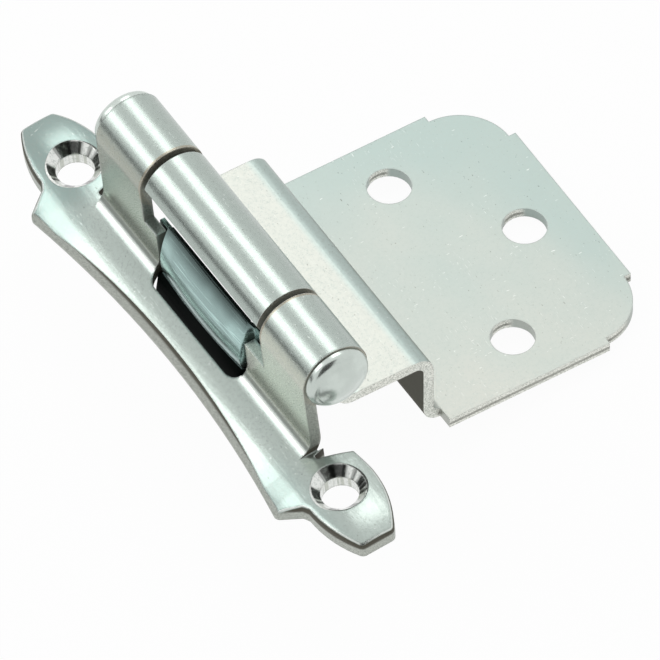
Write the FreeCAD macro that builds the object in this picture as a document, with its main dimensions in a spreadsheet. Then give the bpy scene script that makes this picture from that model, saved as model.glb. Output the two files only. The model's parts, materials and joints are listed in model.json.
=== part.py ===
import FreeCAD, Part
import math
import os
import Sketcher

# Self-closing cabinet hinge with a cranked door wing, in millimetres.
# Origin: midway between the two frame screws, on the face that lies against the cabinet frame.
# X points from the frame towards the door, Y runs along the hinge pin, Z rises off the frame.

os.makedirs("parts", exist_ok=True)
doc = FreeCAD.newDocument("cranked_hinge")

# Driving dimensions

SIZES = [
    ("pin_offset", 4.35, "pin axis from the line of the frame screws, along X"),
    ("pin_height", 13.25, "pin axis above the face of the cabinet frame"),
    ("over_close", 6.0, "degrees that the door wing swings past level when nothing stops it"),
    ("pin_radius", 2.75, "shank of the hinge pin"),
    ("pin_clearance", 0.05, "radial gap between shank and knuckles"),
    ("head_radius", 4.0, "heads of the hinge pin"),
    ("head_rim", 0.8, "height of a head's side before its dome"),
    ("head_dome", 1.15, "rise of a head above its side"),
    ("head_bevel", 0.45, "bevel where a head's side meets its dome"),
    ("head_gap", 0.05, "gap between a head and the knuckle beside it"),
    ("frame_gauge", 1.32, "sheet of the frame wing"),
    ("door_gauge", 1.3, "sheet of the door wing"),
    ("barrel_half", 21.3, "half the length over the outer knuckles"),
    ("centre_half", 11.5, "half the length of the middle knuckle"),
    ("knuckle_gap", 0.8, "gap along the pin between neighbouring knuckles"),
    ("curl_end", 60.0, "degrees below level at which a curl stops"),
    ("cam_depth", 0.9, "depth of the flat pressed into the middle knuckle"),
    ("cam_tilt", 26.0, "degrees that the flat faces below level, door wing level"),
    ("cam_half", 3.2, "half the extent of the flat's cut across the knuckle"),
    ("screw_beyond", 5.9, "frame screws beyond the outer knuckles, along Y"),
    ("screw_hole", 4.3, "diameter of a frame screw hole"),
    ("screw_dish", 6.5, "diameter of its countersink at the surface"),
    ("dish_angle", 86.0, "full angle of the countersink"),
    ("dish_sink", 0.05, "rim of the countersink below the crown"),
    ("leaf_crown", 2.75, "greatest height of the frame leaf"),
    ("crown_radius", 15.0, "radius of the leaf's crown, across it"),
    ("waist_dip", 0.35, "drop of the crown beside the tabs"),
    ("dip_run", 3.0, "length over which the crown drops there"),
    ("end_fall", 1.05, "drop of the leaf's surface just beyond its tips"),
    ("end_fall_run", 5.5, "length over which the surface drops there"),
    ("rim_round", 0.55, "rounding of the leaf's upper rim"),
    ("waist_edge", 5.05, "leaf's outer edge from the screw line, at mid length"),
    ("waist_depth", 2.15, "hollow of the leaf's long outer edge"),
    ("bevel_low", 0.4, "upright part of the long outer edge, under its bevel"),
    ("bevel_lean", 30.0, "degrees that this bevel leans from upright"),
    ("corner_inset", 2.0, "body corner, in from the screw, along Y"),
    ("corner_round", 0.8, "rounding of the body corners and cut tips, seen from above"),
    ("neck_width", 4.6, "outer neck from the screw line"),
    ("neck_inset", 0.4, "outer neck, in from the screw, along Y"),
    ("neck_round", 0.25, "rounding in the necks and on the shoulders, seen from above"),
    ("cheek_width", 4.2, "outer side of a shield from the screw line"),
    ("cheek_drop", 0.4, "start of that side, beyond the screw, along Y"),
    ("shield_width", 4.6, "inner side of a shield from the screw line, at its widest"),
    ("shield_chest", 0.35, "that widest place, in from the screw, along Y"),
    ("shield_side", 14.6, "radius of a shield's long sides"),
    ("shield_tip", 7.95, "screw to the tip of the shield"),
    ("tip_width", 4.1, "width of the cut tip"),
    ("shoulder_inset", 3.6, "inner shoulder of a shield, in from the screw, along Y"),
    ("shoulder_reach", 4.1, "inner shoulder of a shield from the screw line"),
    ("notch_inset", 5.0, "notch between tab and shield, in from the screw, along Y"),
    ("notch_reach", 0.1, "bottom of this notch from the screw line"),
    ("notch_half", 0.25, "half the width of the notch's bottom"),
    ("foot_end", 0.2, "leaf's straight inner side beyond the outer knuckle"),
    ("press_rim", 1.4, "rim left beside the hollow under the leaf"),
    ("window_shift", 0.75, "slot, tab shoulders and spring beyond mid length, along Y"),
    ("slot_half", 9.0, "half the length of the slot beside the tabs"),
    ("slot_reach", 2.0, "slot beyond the outer face of the tabs"),
    ("slot_corner", 1.9, "rounding of the slot's corners"),
    ("shelf_drop", 5.2, "tops of the tab shoulders, below the pin axis"),
    ("shoulder_half", 9.1, "half the distance between the tab shoulders"),
    ("tab_bend", 2.2, "inside radius of the bend from leaf to tab"),
    ("shelf_below", 10.6, "top of the shelf below the pin axis, door wing level"),
    ("crank_reach", 15.35, "outer face of the crank from the pin axis"),
    ("crank_step", 9.525, "height of the crank"),
    ("crank_half", 17.1, "half the width of shelf and crank"),
    ("door_bend", 1.0, "inside radius of the bends in the door wing"),
    ("plate_reach", 44.05, "outer edge of the plate from the pin axis"),
    ("plate_half", 19.05, "half the width of the plate"),
    ("step_reach", 16.2, "start of the plate's full width, from the pin axis"),
    ("plate_corner", 6.35, "radius of the plate's corners"),
    ("corner_relief", 0.85, "setback of each corner arc behind the edges"),
    ("wall_clear", 7.5, "wall cut back below the pin axis beside the outer knuckles"),
    ("door_hole", 5.0, "diameter of a door screw hole"),
    ("pair_reach", 28.3, "pair of door holes from the pin axis"),
    ("pair_spacing", 25.4, "between that pair of holes"),
    ("third_reach", 37.8, "third door hole from the pin axis"),
    ("spring_gauge", 0.6, "sheet of the spring plate"),
    ("spring_half", 10.9, "half the length of the spring plate"),
    ("spring_foot", 0.1, "lower edge of the spring above the frame"),
    ("spring_fold", 2.8, "fold between the spring's face and its lower leg, above the frame"),
    ("spring_spread", 0.65, "lower edge of the leg beyond that fold, along X, at mid length"),
    ("spring_bow", 2.3, "bow of that fold at mid length"),
    ("spring_tab_gap", 0.3, "gap between the spring's ends and the tabs"),
    ("spring_end_drop", 5.4, "upper edge of the spring's ends below the pin axis"),
    ("spring_mid_drop", 3.0, "upper edge of its middle below the pin axis"),
    ("spring_arch", 9.0, "radius of the spring's arched section at mid length"),
    ("spring_end_arch", 24.0, "radius of its section at the ends"),
    ("cam_gap", 0.06, "gap between the spring and the flat"),
    ("cut_margin", 5.0, "how far cuts reach beyond the sheet"),
    ("thin_margin", 1.0, "the same where a surface starts just outside the sheet"),
]

sheet = doc.addObject("Spreadsheet::Sheet", "Sizes")
for row, (alias, value, meaning) in enumerate(SIZES, start=1):
    sheet.set(f"A{row}", meaning)
    sheet.set(f"B{row}", str(value))
    sheet.setAlias(f"B{row}", alias)
doc.recompute()

# Sizes that several pieces share, written once as expressions

BORE = "(Sizes.pin_radius + Sizes.pin_clearance)"
FRAME_OUTER = f"({BORE} + Sizes.frame_gauge)"
DOOR_OUTER = f"({BORE} + Sizes.door_gauge)"
TAB_OUTER = f"(Sizes.pin_offset - {FRAME_OUTER})"
TAB_INNER = f"(Sizes.pin_offset - {BORE})"
WINDOW_HALF = "(Sizes.centre_half + Sizes.knuckle_gap)"
SCREW_Y = "(Sizes.barrel_half + Sizes.screw_beyond)"
BEND_OUTER = "(Sizes.door_bend + Sizes.door_gauge)"
SHELF_TOP = "(Sizes.pin_height - Sizes.shelf_below)"
SHELF_BOTTOM = f"({SHELF_TOP} - Sizes.door_gauge)"
PLATE_TOP = f"({SHELF_TOP} - Sizes.crank_step)"
PLATE_BOTTOM = f"({PLATE_TOP} - Sizes.door_gauge)"
CORNER_X = "-(Sizes.waist_edge + Sizes.waist_depth)"
CORNER_Y = f"({SCREW_Y} - Sizes.corner_inset)"
WAIST_RADIUS = f"({CORNER_Y} * {CORNER_Y} / (2 * Sizes.waist_depth) + Sizes.waist_depth / 2)"
CUT_MARGIN = "Sizes.cut_margin"
THIN_MARGIN = "Sizes.thin_margin"

# Half of the spring: place from its middle to its end, share of the full bow there, and the sheet across X
# under the fold, in gauges, which is more where the sheet slants back behind the tabs
SPRING_STATIONS = [
    (0, 1, 1),
    (0.3, 0.975, 1),
    (0.54, 0.92, 1),
    (0.7, 0.86, 1),
    (0.74, 0.84, 2),
    (0.79, 0.3, 2),
    (0.825, 0, 1),
    (1, 0, 1),
]

# Least cut in cubic millimetres, nearness of like places and points, and slope of a level face
LEAST_CUT = 0.01
SAME_PLACE = 0.01
SAME_POINT = 1e-4
LEVEL_SLOPE = 0.05


def number(expression):
    """The present value of an expression, as a plain number."""
    result = sheet.evalExpression(expression)
    return float(getattr(result, "Value", result))


def origin_plane(body, role):
    """The body's own origin plane with this role."""
    for feature in body.Origin.OriginFeatures:
        if feature.Role == role:
            return feature
    raise ValueError(role)


def new_body(name):
    """A body whose label names its sub-part."""
    body = doc.addObject("PartDesign::Body", name)
    body.Label = name
    body.Placement = FreeCAD.Placement()
    return body


def new_sketch(body, name, role, offset=None):
    """A sketch on an origin plane, moved by up to three expressions in the plane's own axes."""
    sketch = body.newObject("Sketcher::SketchObject", name)
    sketch.AttachmentSupport = [(origin_plane(body, role), "")]
    sketch.MapMode = "FlatFace"
    for axis, expression in (offset or {}).items():
        sketch.setExpression(f"AttachmentOffset.Base.{axis}", expression)
    return sketch


def bind(sketch, constraint, expression):
    """Adds a constraint and ties its value to an expression."""
    index = sketch.addConstraint(constraint)
    sketch.setExpression(f"Constraints[{index}]", expression)


def pin_point(sketch, geometry, point, x, y):
    """Holds a point of the sketch at two expressions, measured from the sketch's origin."""
    bind(sketch, Sketcher.Constraint("DistanceX", -1, 1, geometry, point, number(x)), x)
    bind(sketch, Sketcher.Constraint("DistanceY", -1, 1, geometry, point, number(y)), y)


def arc_between(start, end, radius, large):
    """Circular arc from start to end. A positive radius turns left along it, a negative one right."""
    chord = end - start
    size = max(abs(radius), chord.Length / 2)
    rise = math.sqrt(max(size * size - chord.Length ** 2 / 4, 0.0))
    left = FreeCAD.Vector(-chord.y, chord.x, 0).normalize()
    side = math.copysign(1, radius) * (-1 if large else 1)
    centre = start + chord / 2 + left * (rise * side)
    first = start if radius > 0 else end
    last = end if radius > 0 else start
    begin = math.atan2(first.y - centre.y, first.x - centre.x)
    finish = math.atan2(last.y - centre.y, last.x - centre.x)
    circle = Part.Circle(centre, FreeCAD.Vector(0, 0, 1), size)
    return Part.ArcOfCircle(circle, begin, finish)


def outline(sketch, path):
    """Closed outline. Each step is (x, y) for a line to that point, or (x, y, radius) for an arc.
    A radius expression that starts with + or - turns left or right, and a fourth item
    asks for the larger of the two arcs."""
    points = []
    for step in path:
        points.append(FreeCAD.Vector(number(step[0]), number(step[1]), 0))
    ends = []
    for k, step in enumerate(path):
        start = points[k - 1]
        end = points[k]
        if len(step) == 2:
            ends.append((sketch.addGeometry(Part.LineSegment(start, end)), 1, 2))
            continue
        turn = 1 if step[2][0] == "+" else -1
        arc = arc_between(start, end, turn * number(step[2][1:]), len(step) > 3)
        index = sketch.addGeometry(arc)
        ends.append((index, 1, 2) if turn > 0 else (index, 2, 1))
    for k, step in enumerate(path):
        after = ends[(k + 1) % len(path)]
        here = ends[k]
        sketch.addConstraint(Sketcher.Constraint("Coincident", here[0], here[2], after[0], after[1]))
        pin_point(sketch, here[0], here[2], step[0], step[1])
        if len(step) > 2:
            radius = step[2][1:]
            bind(sketch, Sketcher.Constraint("Radius", here[0], number(radius)), radius)


def circle(sketch, x, y, radius):
    """Full circle with its centre and radius tied to expressions."""
    centre = FreeCAD.Vector(number(x), number(y), 0)
    index = sketch.addGeometry(Part.Circle(centre, FreeCAD.Vector(0, 0, 1), number(radius)))
    pin_point(sketch, index, 3, x, y)
    bind(sketch, Sketcher.Constraint("Radius", index, number(radius)), radius)


def rectangle(sketch, low_x, low_y, high_x, high_y):
    """Upright rectangle between two corners."""
    outline(sketch, [(low_x, low_y), (high_x, low_y), (high_x, high_y), (low_x, high_y)])


def pad(body, name, sketch, length, midplane=False, backwards=False):
    """Adds material along the sketch's normal."""
    feature = body.newObject("PartDesign::Pad", name)
    feature.Profile = sketch
    feature.setExpression("Length", length)
    feature.Midplane = midplane
    feature.Reversed = backwards
    sketch.Visibility = False
    doc.recompute()
    return feature


def cut_through(body, name, sketch):
    """Cuts a sketch through the whole body, both ways, and makes sure that it removed something."""
    before = body.Shape.Volume
    feature = body.newObject("PartDesign::Pocket", name)
    feature.Profile = sketch
    feature.Type = "ThroughAll"
    feature.Midplane = True
    doc.recompute()
    if body.Shape.Volume > before - LEAST_CUT:
        raise ValueError(f"{name} removed nothing")
    return feature


def mirror(body, name, features, role):
    """Repeats features on the other side of an origin plane, or the whole body where none are given."""
    feature = body.newObject("PartDesign::Mirrored", name)
    if features:
        feature.Originals = features
    else:
        feature.TransformMode = "Whole shape"
    feature.MirrorPlane = (origin_plane(body, role), [""])
    body.Tip = feature
    doc.recompute()
    return feature


def edge_names(shape, wanted):
    """Names of the edges for which wanted(edge, middle) holds."""
    names = []
    for k, edge in enumerate(shape.Edges, start=1):
        middle = edge.valueAt((edge.FirstParameter + edge.LastParameter) / 2)
        if wanted(edge, middle):
            names.append(f"Edge{k}")
    return names


def dress(body, kind, name, base, names, size, expression):
    """Fillet or chamfer on named edges of a feature."""
    if not names:
        raise ValueError(f"{name} found no edges")
    feature = body.newObject(f"PartDesign::{kind}", name)
    feature.Base = (base, names)
    feature.setExpression(size, expression)
    doc.recompute()
    return feature


def turned_cut(body, name, sketch, axis="V_Axis"):
    """Cuts a sketch turned once round one of its own axes."""
    before = body.Shape.Volume
    feature = body.newObject("PartDesign::Groove", name)
    feature.Profile = sketch
    feature.ReferenceAxis = (sketch, [axis])
    feature.Angle = 360
    doc.recompute()
    if body.Shape.Volume > before - LEAST_CUT:
        raise ValueError(f"{name} removed nothing")
    return feature


def is_upright(edge):
    """True for a straight edge along Z."""
    ends = [vertex.Point for vertex in edge.Vertexes]
    if len(ends) < 2:
        return False
    return abs(ends[0].x - ends[1].x) < SAME_POINT and abs(ends[0].y - ends[1].y) < SAME_POINT


def corner_edges(shape, steps):
    """Names of the upright edges over the given steps of an outline, and over their mirror images."""
    places = [(number(step[0]), abs(number(step[1]))) for step in steps]
    return edge_names(shape, lambda edge, middle: is_upright(edge) and any(
        abs(middle.x - x) < SAME_PLACE and abs(abs(middle.y) - y) < SAME_PLACE for x, y in places))


def upper_rim(shape, above, beyond):
    """Names of the edges above a height and beyond a Y place where an upright side meets the top."""
    names = []
    for k, edge in enumerate(shape.Edges, start=1):
        if is_upright(edge) or edge.BoundBox.ZMin < above or edge.BoundBox.YMax > beyond:
            continue
        sides = 0
        for face in shape.ancestorsOfType(edge, Part.Face):
            u0, u1, v0, v1 = face.ParameterRange
            if abs(face.normalAt((u0 + u1) / 2, (v0 + v1) / 2).z) < LEVEL_SLOPE:
                sides += 1
        if sides == 1:
            names.append(f"Edge{k}")
    return names


# Frame wing: one stamping, from the decorated leaf up through its tabs to the two outer knuckles

def leaf_outline():
    """Near half of the leaf's outline, seen from above: inner edge, shield end, hollow outer edge."""
    return [
        (TAB_INNER, "0"),
        (TAB_INNER, "-(Sizes.barrel_half + Sizes.foot_end)"),
        ("Sizes.notch_reach", f"-({SCREW_Y} - Sizes.notch_inset - Sizes.notch_half)"),
        ("Sizes.notch_reach", f"-({SCREW_Y} - Sizes.notch_inset + Sizes.notch_half)"),
        ("Sizes.shoulder_reach", f"-({SCREW_Y} - Sizes.shoulder_inset)"),
        ("Sizes.shield_width", f"-({SCREW_Y} - Sizes.shield_chest)"),
        ("Sizes.tip_width / 2", f"-({SCREW_Y} + Sizes.shield_tip)", "-Sizes.shield_side"),
        ("-Sizes.tip_width / 2", f"-({SCREW_Y} + Sizes.shield_tip)"),
        ("-Sizes.cheek_width", f"-({SCREW_Y} + Sizes.cheek_drop)", "-Sizes.shield_side"),
        ("-Sizes.neck_width", f"-({SCREW_Y} - Sizes.neck_inset)"),
        (CORNER_X, f"-{CORNER_Y}"),
        ("-Sizes.waist_edge", "0", f"+{WAIST_RADIUS}"),
    ]


def crown_height(x, inset="0"):
    """Height of the leaf's crown beside the tabs at an X place, or of a surface inset below it."""
    radius = f"(Sizes.crown_radius - Sizes.waist_dip - {inset})"
    return f"Sizes.leaf_crown - Sizes.crown_radius + sqrt({radius} * {radius} - {x} * {x})"


def frame_knuckle_section():
    """Tab and curl as one strip of sheet: up the tab, left over the top, and round under the pin."""
    cosine = "cos(180 + Sizes.curl_end)"
    sine = "sin(180 + Sizes.curl_end)"
    outer_end = (f"Sizes.pin_offset + {FRAME_OUTER} * {cosine}", f"Sizes.pin_height + {FRAME_OUTER} * {sine}")
    inner_end = (f"Sizes.pin_offset + {BORE} * {cosine}", f"Sizes.pin_height + {BORE} * {sine}")
    bend_x = f"({TAB_OUTER} - Sizes.tab_bend)"
    bend_z = f"({crown_height(bend_x)})"
    return [
        (bend_x, "Sizes.frame_gauge / 2"),
        (bend_x, bend_z),
        (TAB_OUTER, f"{bend_z} + Sizes.tab_bend", "+Sizes.tab_bend"),
        (TAB_OUTER, "Sizes.pin_height"),
        (*outer_end, f"-{FRAME_OUTER}", "large"),
        inner_end,
        (TAB_INNER, "Sizes.pin_height", f"+{BORE}", "large"),
        (TAB_INNER, "Sizes.frame_gauge / 2"),
    ]


def make_frame_wing():
    body = new_body("frame_wing")
    crown = "Sizes.leaf_crown"

    sketch = new_sketch(body, "LeafOutline", "XY_Plane")
    outline(sketch, leaf_outline())
    half_leaf = pad(body, "HalfLeaf", sketch, f"{crown} + {THIN_MARGIN}")

    # Corners of the outline, seen from above
    steps = leaf_outline()
    corners = corner_edges(half_leaf.Shape, [steps[k] for k in (6, 7, 10)])
    rounded = dress(body, "Fillet", "RoundCorners", half_leaf, corners, "Radius", "Sizes.corner_round")
    necks = corner_edges(rounded.Shape, [steps[k] for k in (2, 3, 4, 9)])
    dress(body, "Fillet", "RoundNecks", rounded, necks, "Radius", "Sizes.neck_round")

    # Crown across the leaf, turned about an axis under it: low beside the tab, high at the screw,
    # and falling at the tip
    sketch = new_sketch(body, "CrownSection", "XY_Plane", {"z": f"{crown} - Sizes.crown_radius"})
    high = "Sizes.crown_radius"
    low = "(Sizes.crown_radius - Sizes.waist_dip)"
    over = f"({high} + {CUT_MARGIN})"
    tip = f"({SCREW_Y} + Sizes.shield_tip + {THIN_MARGIN})"
    fall_start = f"({SCREW_Y} + Sizes.shield_tip - Sizes.end_fall_run)"
    run = f"(Sizes.end_fall_run + {THIN_MARGIN})"
    fall_radius = f"({run} * {run} + Sizes.end_fall * Sizes.end_fall) / (2 * Sizes.end_fall)"
    rise_start = "(Sizes.barrel_half + Sizes.foot_end)"
    rise_end = f"({rise_start} + Sizes.dip_run)"
    outline(sketch, [
        (low, THIN_MARGIN),
        (over, THIN_MARGIN),
        (over, f"-{tip}"),
        (f"{high} - Sizes.end_fall", f"-{tip}"),
        (high, f"-{fall_start}", f"+{fall_radius}"),
        (high, f"-{rise_end}"),
        (low, f"-{rise_start}"),
    ])
    turned_cut(body, "Crown", sketch)

    # Bevel along the hollow edge
    top = f"({crown} + {CUT_MARGIN})"
    sketch = new_sketch(body, "BevelSection", "YZ_Plane", {"z": f"-(Sizes.waist_edge + {WAIST_RADIUS})"})
    outline(sketch, [
        (WAIST_RADIUS, "Sizes.bevel_low"),
        (f"{WAIST_RADIUS} + ({top} - Sizes.bevel_low) * tan(Sizes.bevel_lean)", top),
        (f"{WAIST_RADIUS} - {CUT_MARGIN}", top),
        (f"{WAIST_RADIUS} - {CUT_MARGIN}", "Sizes.bevel_low"),
    ])
    bevel = turned_cut(body, "Bevel", sketch)
    rim = upper_rim(bevel.Shape, number("Sizes.bevel_low"), -number(CORNER_Y))
    dress(body, "Fillet", "RoundRim", bevel, rim, "Radius", "Sizes.rim_round")
    mirror(body, "WholeLeaf", [], "XZ_Plane")

    # Tabs and knuckles
    sketch = new_sketch(body, "KnuckleSection", "XZ_Plane")
    outline(sketch, frame_knuckle_section())
    pad(body, "TabsAndBarrel", sketch, "2 * Sizes.barrel_half", midplane=True)

    # Underside of the sheet: a hollow one gauge below the crown, which runs out round the tab's bend
    bend = "(Sizes.tab_bend + Sizes.frame_gauge)"
    rim_x = "(Sizes.waist_edge - Sizes.press_rim)"
    bend_x = f"({TAB_INNER} - {bend})"
    bend_z = f"({crown_height(bend_x, 'Sizes.frame_gauge')})"
    sketch = new_sketch(body, "PressedHollow", "XZ_Plane")
    outline(sketch, [
        (f"-{rim_x}", f"-{THIN_MARGIN}"),
        (f"-{rim_x}", crown_height(rim_x, "Sizes.frame_gauge")),
        (bend_x, bend_z, "-(Sizes.crown_radius - Sizes.waist_dip - Sizes.frame_gauge)"),
        (TAB_INNER, f"{bend_z} + {bend}", f"+{bend}"),
        (f"{TAB_INNER} + {THIN_MARGIN}", f"{bend_z} + {bend}"),
        (f"{TAB_INNER} + {THIN_MARGIN}", f"-{THIN_MARGIN}"),
    ])
    before = body.Shape.Volume
    hollow = body.newObject("PartDesign::Pocket", "Hollow")
    hollow.Profile = sketch
    hollow.Midplane = True
    hollow.setExpression("Length", "2 * (Sizes.barrel_half + Sizes.foot_end)")
    doc.recompute()
    if body.Shape.Volume > before - LEAST_CUT:
        raise ValueError("the hollow under the leaf removed nothing")

    # Window between the tabs: full width beside the middle knuckle, narrower between the shoulders
    shelf_z = "(Sizes.pin_height - Sizes.shelf_drop)"
    over = f"Sizes.pin_height + {FRAME_OUTER} + {CUT_MARGIN}"
    sketch = new_sketch(body, "WindowOutline", "YZ_Plane")
    outline(sketch, [
        ("Sizes.window_shift - Sizes.slot_half", crown),
        ("Sizes.window_shift + Sizes.slot_half", crown),
        ("Sizes.window_shift + Sizes.shoulder_half", shelf_z),
        (WINDOW_HALF, shelf_z),
        (WINDOW_HALF, over),
        (f"-{WINDOW_HALF}", over),
        (f"-{WINDOW_HALF}", shelf_z),
        ("Sizes.window_shift - Sizes.shoulder_half", shelf_z),
    ])
    cut_through(body, "Window", sketch)

    # Slot in the leaf under the window
    sketch = new_sketch(body, "SlotOutline", "XY_Plane", {"y": "Sizes.window_shift"})
    slot_x = f"({TAB_OUTER} - Sizes.slot_reach)"
    outline(sketch, [
        (f"{TAB_INNER} + {THIN_MARGIN}", "-Sizes.slot_half"),
        (f"{TAB_INNER} + {THIN_MARGIN}", "Sizes.slot_half"),
        (f"{slot_x} + Sizes.slot_corner", "Sizes.slot_half"),
        (slot_x, "Sizes.slot_half - Sizes.slot_corner", "+Sizes.slot_corner"),
        (slot_x, "-(Sizes.slot_half - Sizes.slot_corner)"),
        (f"{slot_x} + Sizes.slot_corner", "-Sizes.slot_half", "+Sizes.slot_corner"),
    ])
    slot = body.newObject("PartDesign::Pocket", "Slot")
    slot.Profile = sketch
    slot.Reversed = True
    slot.setExpression("Length", f"{crown} + {THIN_MARGIN}")
    doc.recompute()

    # Countersunk screw holes
    cone = "tan(Sizes.dish_angle / 2)"
    seat = f"({crown} - Sizes.dish_sink)"
    neck_z = f"{seat} - (Sizes.screw_dish - Sizes.screw_hole) / (2 * {cone})"
    sketch = new_sketch(body, "ScrewSection", "XZ_Plane", {"z": SCREW_Y})
    outline(sketch, [
        ("0", f"-{THIN_MARGIN}"),
        ("Sizes.screw_hole / 2", f"-{THIN_MARGIN}"),
        ("Sizes.screw_hole / 2", neck_z),
        (f"Sizes.screw_dish / 2 + {THIN_MARGIN} * {cone}", f"{seat} + {THIN_MARGIN}"),
        ("0", f"{seat} + {THIN_MARGIN}"),
    ])
    screw = turned_cut(body, "ScrewHole", sketch)
    mirror(body, "BothScrewHoles", [screw], "XZ_Plane")
    return body


# Door wing: one strip of sheet from the middle knuckle down its wall, over the shelf and down the crank

def door_section():
    """Section of the door wing across the pin."""
    cosine = "cos(Sizes.curl_end)"
    sine = "sin(Sizes.curl_end)"
    wall_outer = f"(Sizes.pin_offset + {DOOR_OUTER})"
    wall_inner = f"(Sizes.pin_offset + {BORE})"
    crank_outer = "(Sizes.pin_offset + Sizes.crank_reach)"
    crank_inner = f"({crank_outer} - Sizes.door_gauge)"
    edge = "Sizes.pin_offset + Sizes.plate_reach"
    bend = "Sizes.door_bend"
    return [
        (wall_outer, f"{SHELF_TOP} + {bend}"),
        (f"{wall_outer} + {bend}", SHELF_TOP, f"+{bend}"),
        (f"{crank_outer} - {BEND_OUTER}", SHELF_TOP),
        (crank_outer, f"{SHELF_TOP} - {BEND_OUTER}", f"-{BEND_OUTER}"),
        (crank_outer, f"{PLATE_TOP} + {bend}"),
        (f"{crank_outer} + {bend}", PLATE_TOP, f"+{bend}"),
        (edge, PLATE_TOP),
        (edge, PLATE_BOTTOM),
        (f"{crank_inner} + {BEND_OUTER}", PLATE_BOTTOM),
        (crank_inner, f"{PLATE_BOTTOM} + {BEND_OUTER}", f"-{BEND_OUTER}"),
        (crank_inner, f"{SHELF_BOTTOM} - {bend}"),
        (f"{crank_inner} - {bend}", SHELF_BOTTOM, f"+{bend}"),
        (f"{wall_inner} + {BEND_OUTER}", SHELF_BOTTOM),
        (wall_inner, f"{SHELF_BOTTOM} + {BEND_OUTER}", f"-{BEND_OUTER}"),
        (wall_inner, "Sizes.pin_height"),
        (f"Sizes.pin_offset + {BORE} * {cosine}", f"Sizes.pin_height - {BORE} * {sine}", f"+{BORE}", "large"),
        (f"Sizes.pin_offset + {DOOR_OUTER} * {cosine}", f"Sizes.pin_height - {DOOR_OUTER} * {sine}"),
        (wall_outer, "Sizes.pin_height", f"-{DOOR_OUTER}", "large"),
    ]


def make_door_wing():
    body = new_body("door_wing")
    sketch = new_sketch(body, "WingSection", "XZ_Plane")
    outline(sketch, door_section())
    pad(body, "BentStrip", sketch, "2 * Sizes.plate_half", midplane=True)

    # Room for the outer knuckles beside the middle one
    wall_top = "(Sizes.pin_height - Sizes.wall_clear)"
    over = f"Sizes.pin_height + {DOOR_OUTER} + {CUT_MARGIN}"
    side = f"Sizes.plate_half + {CUT_MARGIN}"
    sketch = new_sketch(body, "KnuckleRoom", "YZ_Plane")
    rectangle(sketch, "Sizes.centre_half", wall_top, side, over)
    room = cut_through(body, "NearRoom", sketch)
    mirror(body, "BothRooms", [room], "XZ_Plane")

    # Shelf and crank are narrower than the plate
    sketch = new_sketch(body, "NarrowSides", "XY_Plane")
    rectangle(sketch, f"-{CUT_MARGIN}", "Sizes.crank_half", "Sizes.pin_offset + Sizes.step_reach", side)
    narrow = cut_through(body, "NarrowSide", sketch)
    mirror(body, "BothNarrowSides", [narrow], "XZ_Plane")

    # Corners of the plate, each arc set back behind the edges that it joins
    centre_x = "(Sizes.pin_offset + Sizes.plate_reach - Sizes.corner_relief - Sizes.plate_corner)"
    centre_y = "(Sizes.plate_half - Sizes.corner_relief - Sizes.plate_corner)"
    beyond = f"Sizes.pin_offset + Sizes.plate_reach + {CUT_MARGIN}"
    sketch = new_sketch(body, "CornerCut", "XY_Plane")
    outline(sketch, [
        (centre_x, f"{centre_y} + Sizes.plate_corner"),
        (f"{centre_x} + Sizes.plate_corner", centre_y, "-Sizes.plate_corner"),
        (beyond, centre_y),
        (beyond, side),
        (centre_x, side),
    ])
    corner = cut_through(body, "Corner", sketch)
    mirror(body, "BothCorners", [corner], "XZ_Plane")

    # Flat on the lower left of the middle knuckle, on which the spring bears
    cosine = "cos(Sizes.cam_tilt)"
    sine = "sin(Sizes.cam_tilt)"
    near = f"({DOOR_OUTER} - Sizes.cam_depth)"
    reach = f"({DOOR_OUTER} + {CUT_MARGIN})"
    sketch = new_sketch(body, "CamFlat", "XZ_Plane")
    corners = []
    for out, side_sign in ((near, 1), (near, -1), (reach, -1), (reach, 1)):
        along = f"{side_sign} * Sizes.cam_half"
        corners.append((f"Sizes.pin_offset - {out} * {cosine} - ({along}) * {sine}",
                        f"Sizes.pin_height - {out} * {sine} + ({along}) * {cosine}"))
    outline(sketch, corners)
    cut_through(body, "Cam", sketch)

    # Screw holes of the plate
    sketch = new_sketch(body, "DoorHoles", "XY_Plane", {"z": PLATE_TOP})
    pair_x = "Sizes.pin_offset + Sizes.pair_reach"
    circle(sketch, pair_x, "Sizes.pair_spacing / 2", "Sizes.door_hole / 2")
    circle(sketch, pair_x, "-Sizes.pair_spacing / 2", "Sizes.door_hole / 2")
    circle(sketch, "Sizes.pin_offset + Sizes.third_reach", "0", "Sizes.door_hole / 2")
    before = body.Shape.Volume
    hole = body.newObject("PartDesign::Hole", "DoorScrewHoles")
    hole.Profile = sketch
    doc.recompute()
    hole.Threaded = False
    hole.DepthType = "ThroughAll"
    hole.setExpression("Diameter", "Sizes.door_hole")
    doc.recompute()
    if body.Shape.Volume > before - LEAST_CUT:
        raise ValueError("the door holes removed nothing")

    # The wing is drawn level with the frame wing and then swung past level about the pin
    axis = FreeCAD.Vector(number("Sizes.pin_offset"), 0, number("Sizes.pin_height"))
    swing = FreeCAD.Rotation(FreeCAD.Vector(0, 1, 0), number("Sizes.over_close"))
    body.Placement = FreeCAD.Placement(FreeCAD.Vector(0, 0, 0), swing, axis)
    return body


# Hinge pin: a shank with a domed head at each end

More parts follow.
